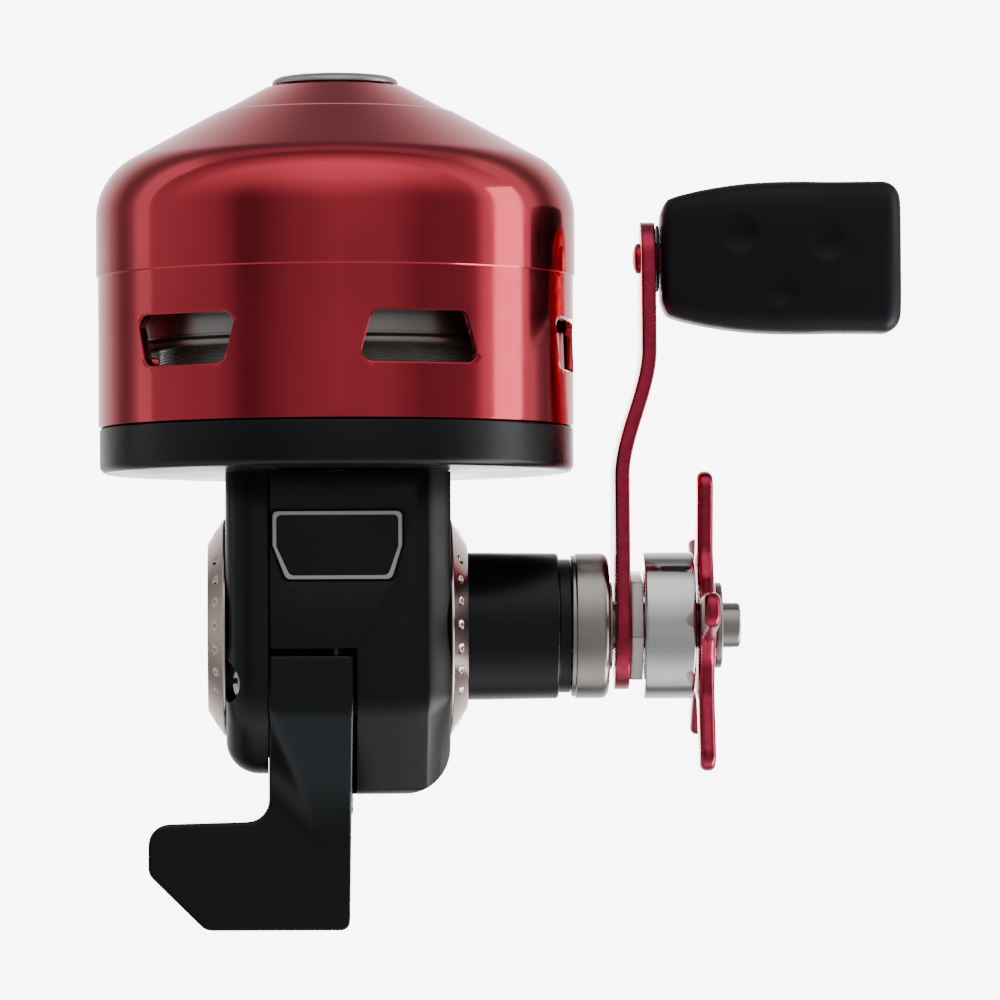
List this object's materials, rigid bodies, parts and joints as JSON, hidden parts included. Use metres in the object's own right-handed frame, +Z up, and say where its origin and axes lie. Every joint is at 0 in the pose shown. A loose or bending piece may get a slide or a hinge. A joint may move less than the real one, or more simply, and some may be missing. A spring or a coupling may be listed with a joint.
{
  "type": "spincast fishing reel",
  "caption": "Closed-face spincast fishing reel: bell cover with line windows, winding head and spool inside, thumb lever, crank with paddle knob, star drag and rod foot.",
  "frame": {"origin": "centre of the rod foot's flat seat face, under the body", "axes": "+X towards the crank handle, +Y towards the nose where the line leaves, +Z up away from the rod"},
  "size_m": [0.1109, 0.1174, 0.0715],
  "materials": {
    "red_anodised": "satin anodised",
    "crimson_anodised": "satin anodised",
    "black_satin": "satin",
    "black_lever": "satin moulded",
    "rose_metal": "polished",
    "steel": "satin nickel",
    "bright_aluminium": "polished",
    "grey_aluminium": "satin",
    "brass": "machined",
    "line": "clear monofilament",
    "fibre": "fibre",
    "knob_rubber": "matt soft touch",
    "black_rubber": "matt"
  },
  "bodies": {
    "frame": {"front_cover": "red_anodised", "nose_ring": "steel", "front_plate": "black_satin", "main_housing": "black_satin", "left_side_cover": "black_satin", "nameplate": "black_satin", "plate_screw_top": "steel", "plate_screw_right": "steel", "plate_screw_left": "steel", "side_screw_top": "steel", "side_screw_rear": "steel", "side_screw_front": "steel", "foot_screw_front": "steel", "foot_screw_rear": "steel", "rod_foot": "black_satin", "right_trim_ring": "rose_metal", "left_trim_ring": "rose_metal", "left_inlay": "black_satin", "crank_bearing_housing": "black_satin", "crank_ball_bearing": "steel", "one_way_bearing": "steel", "spool": "grey_aluminium", "line_winding": "line", "spool_retainer": "steel", "main_bearing_rear": "steel", "main_bearing_front": "steel", "rear_bushing": "brass", "shaft_return_spring": "steel", "lever_pivot_pin": "steel", "lever_spring": "steel"},
    "crank": {"crank_shaft": "steel", "drive_gear": "brass", "gear_clip": "steel", "drag_washer_inner": "fibre", "pressure_plate": "steel", "drag_washer_outer": "fibre", "collar": "steel", "handle_arm": "crimson_anodised", "handle_nut": "steel", "end_nut": "steel", "knob_spindle": "crimson_anodised", "knob_washer": "black_rubber"},
    "star": {"star_hub": "bright_aluminium", "star_wheel": "crimson_anodised"},
    "knob": {"knob_grip": "knob_rubber"},
    "lever": {"thumb_lever": "black_lever"},
    "shaft_carrier": {"thrust_button": "steel"},
    "winding_head": {"main_shaft": "steel", "pinion_gear": "brass", "winding_cup": "grey_aluminium", "cup_nut": "steel"},
    "pin": {"pickup_pin": "steel"}
  },
  "joints": [
    {"name": "crank_spin", "type": "hinge", "parent": "frame", "child": "crank", "pos_m": [0.03, -0.0065, 0.0385], "axis": [1, 0, 0], "continuous": true},
    {"name": "star_drag", "type": "hinge", "parent": "crank", "child": "star", "pos_m": [0.045, -0.0065, 0.0385], "axis": [1, 0, 0], "range_deg": [-270, 270]},
    {"name": "knob_spin", "type": "hinge", "parent": "crank", "child": "knob", "pos_m": [0.06, 0.0441, 0.0385], "axis": [1, 0, 0], "continuous": true},
    {"name": "shaft_slide", "type": "slide", "parent": "frame", "child": "shaft_carrier", "axis": [0, 1, 0], "range_m": [0, 0.00277], "stiffness_N_per_m": 2000, "springref_m": -0.003, "deforming": ["shaft_return_spring"]},
    {"name": "lever_press", "type": "hinge", "parent": "frame", "child": "lever", "pos_m": [0, -0.0175, 0.051], "axis": [1, 0, 0], "range_deg": [0, 13], "stiffness_Nm_per_rad": 0.06, "springref_deg": -17.19, "deforming": ["lever_spring"]},
    {"name": "head_spin", "type": "hinge", "parent": "shaft_carrier", "child": "winding_head", "pos_m": [0, 0.03, 0.0385], "axis": [0, 1, 0], "continuous": true},
    {"name": "pin_retract", "type": "slide", "parent": "winding_head", "child": "pin", "axis": [-0.342, 0, 0.9397], "range_m": [-0.0025, 0]}
  ],
  "couplings": [
    {"joint": "head_spin", "follows": "crank_spin", "ratio": -3.6},
    {"joint": "lever_press", "follows": "shaft_slide", "rad_per_m": 81.9},
    {"joint": "pin_retract", "follows": "shaft_slide", "ratio": -0.8664}
  ]
}
